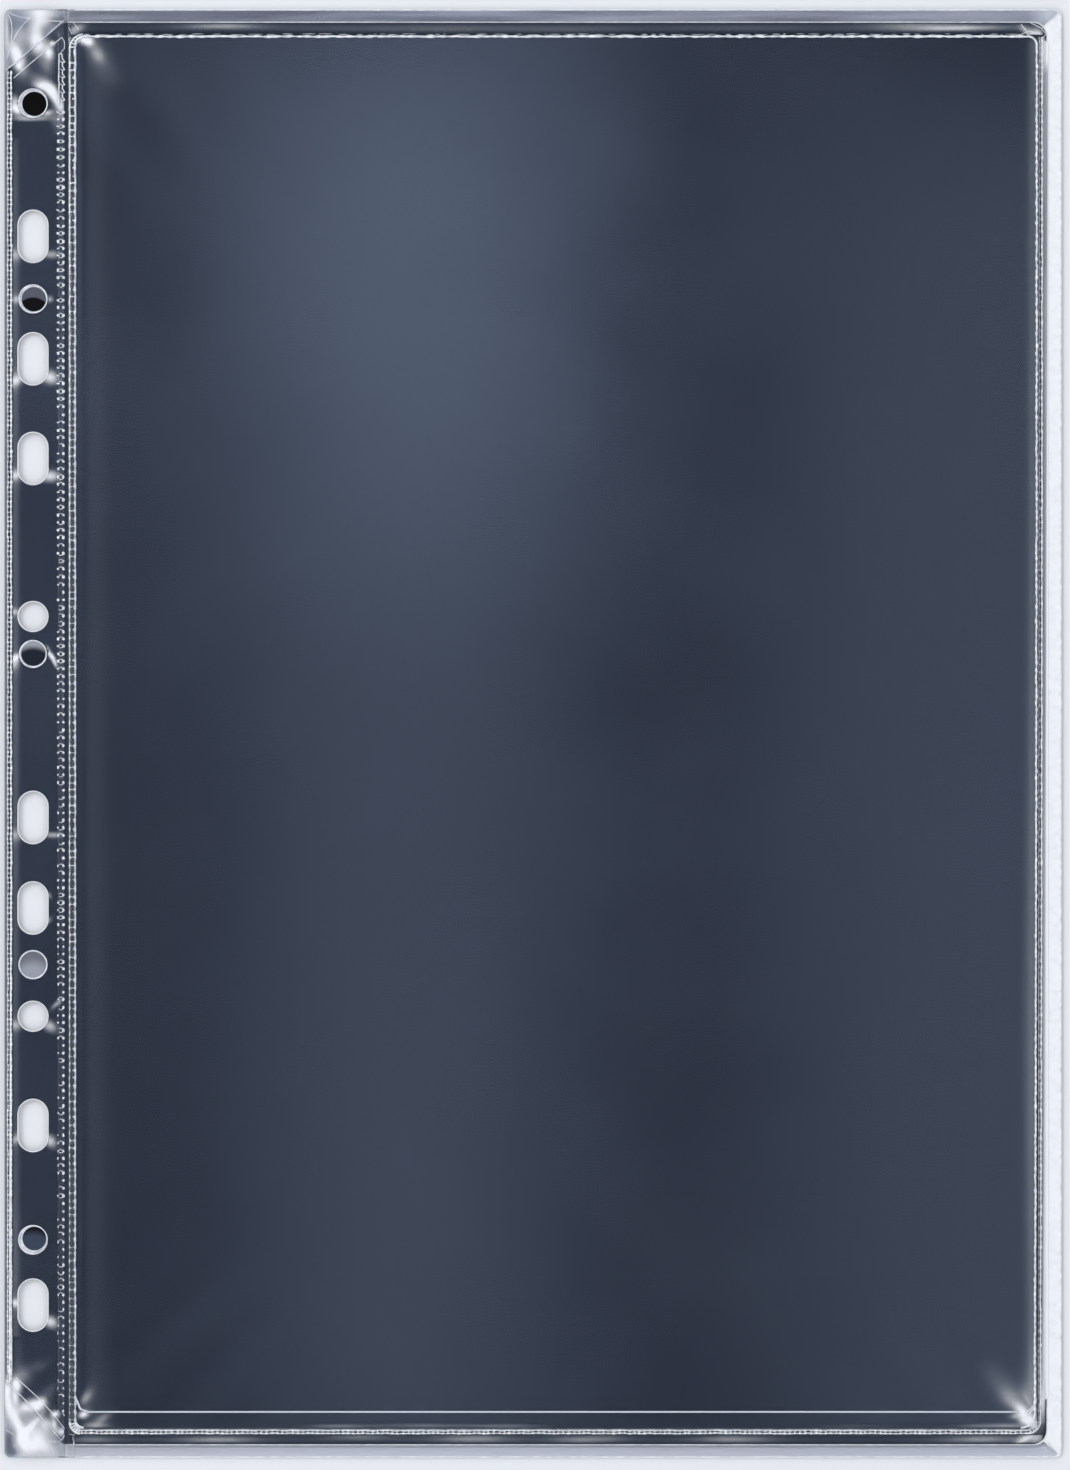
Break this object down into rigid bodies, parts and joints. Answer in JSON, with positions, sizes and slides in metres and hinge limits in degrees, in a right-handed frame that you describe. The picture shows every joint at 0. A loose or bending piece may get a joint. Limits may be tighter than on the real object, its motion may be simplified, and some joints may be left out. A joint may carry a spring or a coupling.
{
  "type": "stamp stock sheet",
  "caption": "Loose-leaf stock sheet with a dark ground between clear films, a top-loading pocket with a removable card, knurled welds and a punched margin on a film hinge.",
  "frame": {"origin": "under the middle of the sheet, on the surface it lies on", "axes": "+X towards the fore-edge, +Y towards the pocket's open mouth, +Z out of the front of the sheet"},
  "size_m": [0.2314, 0.317, 0.0021],
  "materials": {
    "clear_film": "clear soft PVC film, glossy",
    "fused_film": "fused clear PVC, knurled",
    "slate_sheet": "dark slate sheet, satin",
    "slate_card": "dark slate card with pale cut edges"
  },
  "bodies": {
    "page": {"page_back_film": "clear_film", "page_base": "slate_sheet", "edge_welt": "clear_film", "pocket_film": "clear_film", "mouth_lip": "clear_film", "spine_weld_inner": "fused_film", "fore_edge_weld": "fused_film", "foot_weld": "fused_film", "hinge_web": "clear_film"},
    "card": {"insert_card": "slate_card"},
    "margin": {"margin_back_film": "clear_film", "margin_base": "slate_sheet", "binding_strip": "clear_film", "spine_weld_outer": "fused_film", "margin_edge_weld": "fused_film", "hole_ring_1": "fused_film", "hole_ring_2": "fused_film", "hole_ring_3": "fused_film", "hole_ring_4": "fused_film", "hole_ring_5": "fused_film"}
  },
  "joints": [
    {"name": "card_slide", "type": "slide", "parent": "page", "child": "card", "axis": [0, 1, 0], "range_m": [-0.003, 0.28]},
    {"name": "margin_fold", "type": "hinge", "parent": "page", "child": "margin", "pos_m": [-0.1021, 0, 0.00105], "axis": [0, 1, 0], "range_deg": [-30, 75], "stiffness_Nm_per_rad": 0.004, "deforming": ["hinge_web"]}
  ]
}
